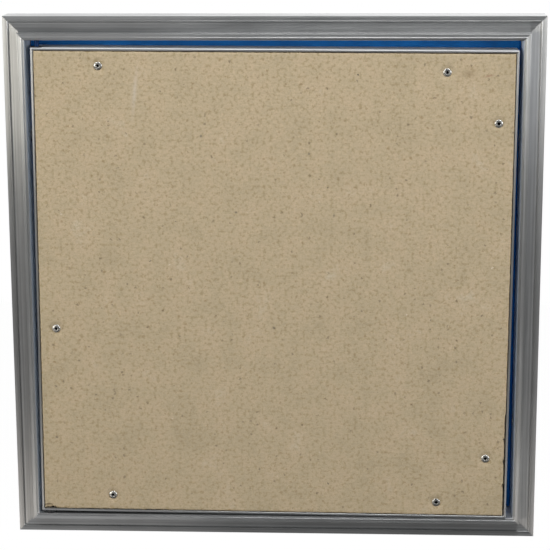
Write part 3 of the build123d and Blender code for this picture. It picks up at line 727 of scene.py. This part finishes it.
# %% Pan-head screws
HEAD_HEIGHT = 2.0 * MM
for node_name, piece_name, radius, shank in (("frame_cleat_screws", "cleat_screws_pan_head", 3.5, 1.7),
                                             ("latch_screws", "latch_screws_pan_head", 3.2, 1.5)):
    boxes = boxes_of_solids(node_name)
    length = (boxes[0][1].y - boxes[0][0].y - HEAD_HEIGHT) / MM
    spots = [facing(Vector(((low.x + high.x) / 2, high.y - HEAD_HEIGHT, (low.z + high.z) / 2)),
                    (0.0, 1.0, 0.0)) for low, high in boxes]
    settle(copies_joined(pan_head(radius, shank, length), spots), piece_name, "frame", "screw_steel", zinc,
           node_name)

# %% Countersunk screws
bar_boxes = boxes_of_solids("pivot_bar_screws")
bar_spots = []
for low, high in bar_boxes:
    above = low.z > 0
    level = low.z if above else high.z
    bar_spots.append(facing(Vector(((low.x + high.x) / 2, (low.y + high.y) / 2, level)),
                            (0.0, 0.0, -1.0 if above else 1.0)))
bar_screw_length = (bar_boxes[0][1].z - bar_boxes[0][0].z) / MM
settle(copies_joined(countersunk(2.8, 1.45, bar_screw_length), bar_spots), "pivot_bar_screws_countersunk",
       "frame", "screw_steel", zinc, "pivot_bar_screws")

# %% [markdown]
# ## Latch springs
# A small compression spring pushes each latch plunger forward. It is a ring of round wire swept
# up a helix with the Screw modifier. The spring sits in the housing and shortens as the plunger
# is pressed; here it keeps the length of the CAD solid and rides on the frame.

# %% Latch springs
SPRING_TURNS = 7
STEPS_PER_TURN = 24
WIRE_SIDES = 10
WIRE_RADIUS = 0.33 * MM
for which in ("upper", "lower"):
    low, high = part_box(which + "_latch_spring")
    low, high = Vector(low), Vector(high)
    length = high.y - low.y
    coil_radius = (high.x - low.x) / 2 - WIRE_RADIUS
    bpy.ops.object.select_all(action="DESELECT")
    bpy.ops.mesh.primitive_circle_add(vertices=WIRE_SIDES, radius=WIRE_RADIUS,
                                      rotation=(math.pi / 2, 0.0, 0.0),
                                      location=(coil_radius, 0.0, WIRE_RADIUS))
    spring = bpy.context.active_object
    bpy.ops.object.transform_apply(location=True, rotation=True, scale=True)
    climb = spring.modifiers.new("helix", "SCREW")
    climb.axis = "Z"
    climb.angle = 2 * math.pi * SPRING_TURNS
    climb.screw_offset = length - 2 * WIRE_RADIUS
    climb.steps = climb.render_steps = STEPS_PER_TURN * SPRING_TURNS
    climb.use_merge_vertices = False
    bpy.ops.object.modifier_apply(modifier=climb.name)
    bpy.ops.object.mode_set(mode="EDIT")
    bpy.ops.mesh.select_all(action="SELECT")
    bpy.ops.mesh.fill_holes(sides=WIRE_SIDES)
    bpy.ops.mesh.select_all(action="SELECT")
    bpy.ops.mesh.normals_make_consistent(inside=False)
    bpy.ops.object.mode_set(mode="OBJECT")
    bpy.ops.object.shade_smooth_by_angle(angle=math.radians(50.0))
    centre = (low + high) / 2
    spring.data.transform(facing(Vector((centre.x, high.y, centre.z)), (0.0, -1.0, 0.0)))
    settle(spring, which + "_spring_coiled", "frame", "spring_steel", spring_steel, which + "_latch_spring")
    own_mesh(spring)

# %% [markdown]
# ## Foam seal
# A soft blue strip lies on the stop all round, and the closed leaf nearly rests on it. It starts
# as a box as large as the CAD solid, its front edges are rounded over with a bevel, and many cuts
# across it let small random moves give the slightly wavy look of cut and glued foam.

# %% Foam seal, mitred and rounded
low, high = [Vector(corner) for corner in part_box("stop_seal_top")]
size = high - low
bpy.ops.object.select_all(action="DESELECT")
bpy.ops.mesh.primitive_cube_add(size=1.0, location=(low + high) / 2, scale=size)
strip = bpy.context.active_object
bpy.ops.object.transform_apply(location=True, rotation=True, scale=True)
bpy.ops.object.mode_set(mode="EDIT")
for end in (1.0, -1.0):
    bpy.ops.mesh.select_all(action="SELECT")
    bpy.ops.mesh.bisect(plane_co=(end * high.x, 0.0, high.z), plane_no=(end, 0.0, -1.0), use_fill=True,
                        clear_outer=True)
bpy.ops.mesh.select_all(action="DESELECT")
bpy.ops.object.mode_set(mode="OBJECT")
for edge in strip.data.edges:
    a, b = [strip.data.vertices[index].co for index in edge.vertices]
    edge.select = abs(a.y - low.y) < MM and abs(b.y - low.y) < MM and abs(a.z - b.z) < MM
bpy.ops.object.mode_set(mode="EDIT")
bpy.ops.mesh.select_mode(type="EDGE")
bpy.ops.mesh.bevel(offset=0.42 * size.y, segments=5, profile=0.5)
print("a strip is", round(size.x / MM, 1), "mm long and", round(size.z / MM, 1), "mm wide")

# %% Foam seal, wavy face and four sides
CUT_SPACING = 4.0 * MM
FOAM_WAVE = 0.22 * MM
for number in range(1, int(size.x / CUT_SPACING)):
    bpy.ops.mesh.select_all(action="SELECT")
    bpy.ops.mesh.bisect(plane_co=(low.x + number * CUT_SPACING, 0.0, 0.0), plane_no=(1.0, 0.0, 0.0))
bpy.ops.object.mode_set(mode="OBJECT")
for vertex in strip.data.vertices:
    vertex.select = vertex.co.y < high.y - 0.5 * MM and abs(vertex.co.x) < high.x - size.z - MM
bpy.ops.object.mode_set(mode="EDIT")
bpy.ops.mesh.select_mode(type="VERT")
bpy.ops.transform.vertex_random(offset=FOAM_WAVE, uniform=0.0, normal=0.0, seed=5)
bpy.ops.mesh.select_all(action="SELECT")
bpy.ops.mesh.normals_make_consistent(inside=False)
bpy.ops.object.mode_set(mode="OBJECT")
bpy.ops.object.shade_smooth_by_angle(angle=math.radians(40.0))
for number, side in enumerate(("top", "right", "bottom", "left")):
    copy = bpy.data.objects.new("strip", strip.data.copy())
    scene.collection.objects.link(copy)
    copy.data.transform(turn(90.0 * number, "Y"))
    settle(copy, "foam_seal_" + side, "frame", "seal_rubber", foam, "stop_seal_" + side)
bpy.data.objects.remove(strip)

# %% [markdown]
# ## The board
# The fibreboard fills the leaf, and its own joint shows as a thin ragged line against the rim. The
# leaf sags a little on its hinges, so its square is turned by a third of a degree. A fine grid
# becomes the board's face, and a Displace modifier gives it a faint waviness.

# %% Board's face
LEAF_SAG_DEG = 0.32
BOARD_CELLS = 200
low, high = [Vector(corner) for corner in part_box("board_insert")]
sag = math.radians(LEAF_SAG_DEG)
board_half = (high.x - low.x) / 2 / (math.cos(sag) + math.sin(sag))
board_centre = Vector(((low.x + high.x) / 2, low.y, (low.z + high.z) / 2))
bpy.ops.object.select_all(action="DESELECT")
bpy.ops.mesh.primitive_grid_add(x_subdivisions=BOARD_CELLS, y_subdivisions=BOARD_CELLS, size=2 * board_half,
                                location=board_centre, rotation=(math.pi / 2, sag, 0.0))
board = bpy.context.active_object
bpy.ops.object.transform_apply(location=True, rotation=True, scale=True)
waves = bpy.data.textures.new("waviness", "CLOUDS")
waves.noise_scale = 0.07
wavy = board.modifiers.new("waviness", "DISPLACE")
wavy.texture = waves
wavy.texture_coords = "LOCAL"
wavy.direction = "Y"
wavy.mid_level = 0.5
wavy.strength = 0.5 * MM
bpy.ops.object.modifier_apply(modifier=wavy.name)
print("board_half in mm:", round(board_half / MM, 2))

# %% [markdown]
# The rivets have pulled shallow dents into the board, which proportional editing gives: the middle
# is moved in and its surroundings follow. Under a rivet's open bore the face is pushed in much
# further, because the board is drilled there and must not show through the bore.

# %% Dents at the rivets


def select_vertices(piece, wanted):
    """In edit mode, select the vertices for which wanted is true."""
    bpy.ops.object.mode_set(mode="EDIT")
    bpy.ops.mesh.select_mode(type="VERT")
    bpy.ops.mesh.select_all(action="DESELECT")
    bpy.ops.object.mode_set(mode="OBJECT")
    for vertex in piece.data.vertices:
        vertex.select = wanted(vertex.co)
    bpy.ops.object.mode_set(mode="EDIT")


def select_around(across, up, reach):
    """Select the board's vertices within reach of a point on its face."""
    select_vertices(board, lambda co: math.hypot(co.x - across, co.z - up) < reach)


FINER_REACH, DENT_CORE, DENT_REACH = 8.5 * MM, 2.0 * MM, 5.0 * MM
HOLE_RADIUS, HOLE_DEPTH = 1.5 * MM, 4.0 * MM
for rivet_low, rivet_high in rivet_boxes:
    spot = (rivet_low + rivet_high) / 2
    select_around(spot.x, spot.z, FINER_REACH)
    bpy.ops.mesh.subdivide(number_cuts=2)
    select_around(spot.x, spot.z, DENT_CORE)
    bpy.ops.transform.translate(value=(0.0, (RIVET_DENT + 0.1) * MM, 0.0), use_proportional_edit=True,
                                proportional_edit_falloff="SMOOTH", proportional_size=DENT_REACH)
    select_around(spot.x, spot.z, HOLE_RADIUS)
    bpy.ops.transform.translate(value=(0.0, HOLE_DEPTH, 0.0))
bpy.ops.object.mode_set(mode="OBJECT")
print("dents:", len(rivet_boxes), "and", len(board.data.vertices), "vertices")

# %% [markdown]
# A sawn edge of fibreboard crumbles. The outermost vertices are moved in a little and strewn, more
# so at the lower right, and a few chips are taken out at the lower left corner and on the right.

# %% Crumbled border


def edge_distance(co):
    """How far a point is from the border of the board's face, in its own turned square."""
    across = (co.x - board_centre.x) * math.cos(sag) - (co.z - board_centre.z) * math.sin(sag)
    up = (co.x - board_centre.x) * math.sin(sag) + (co.z - board_centre.z) * math.cos(sag)
    return board_half - max(abs(across), abs(up))


BORDER_WIDTH, SAWN_EDGE = 3.0 * MM, 0.3 * MM
# Place across and up, and reach, in mm.
CHIPS = [(-174.9, -178.0, 2.8), (-171.0, -179.0, 2.0), (176.2, -120.0, 1.6), (176.0, -137.0, 1.8),
         (175.6, -156.0, 1.6)]
select_vertices(board, lambda co: edge_distance(co) < BORDER_WIDTH)
bpy.ops.mesh.subdivide(number_cuts=1)
select_vertices(board, lambda co: edge_distance(co) < SAWN_EDGE)
bpy.ops.transform.translate(value=(0.0, 0.35 * MM, 0.0))
bpy.ops.transform.vertex_random(offset=0.32 * MM, uniform=0.0, normal=0.0, seed=11)
select_vertices(board, lambda co: edge_distance(co) < SAWN_EDGE and co.x > 0.17 and co.z < -0.10)
bpy.ops.transform.translate(value=(-0.55 * MM, 0.0, 0.0))
bpy.ops.transform.vertex_random(offset=0.45 * MM, uniform=0.0, normal=0.0, seed=12)
for across, up, reach in CHIPS:
    select_vertices(board, lambda co: math.hypot(co.x / MM - across, co.z / MM - up) < reach)
    towards = board_centre - Vector((across * MM, 0.0, up * MM))
    towards.y = 0.0
    bpy.ops.transform.translate(value=towards.normalized() * 0.5 * MM + Vector((0.0, 1.3 * MM, 0.0)))
print(len(CHIPS), "chips taken out of the border")

# %% [markdown]
# The face becomes a closed board when its border is extruded backwards and filled.

# %% Board's thickness
bpy.ops.mesh.select_all(action="SELECT")
bpy.ops.mesh.region_to_loop()
bpy.ops.mesh.extrude_region_move(TRANSFORM_OT_translate={"value": (0.0, high.y - low.y - 0.4 * MM, 0.0)})
bpy.ops.mesh.edge_face_add()
bpy.ops.mesh.select_all(action="SELECT")
bpy.ops.mesh.normals_make_consistent(inside=False)
bpy.ops.object.mode_set(mode="OBJECT")
bpy.ops.object.shade_smooth_by_angle(angle=math.radians(40.0))
settle(board, "fibreboard_face", "leaf", "board", board_finish, "board_insert")
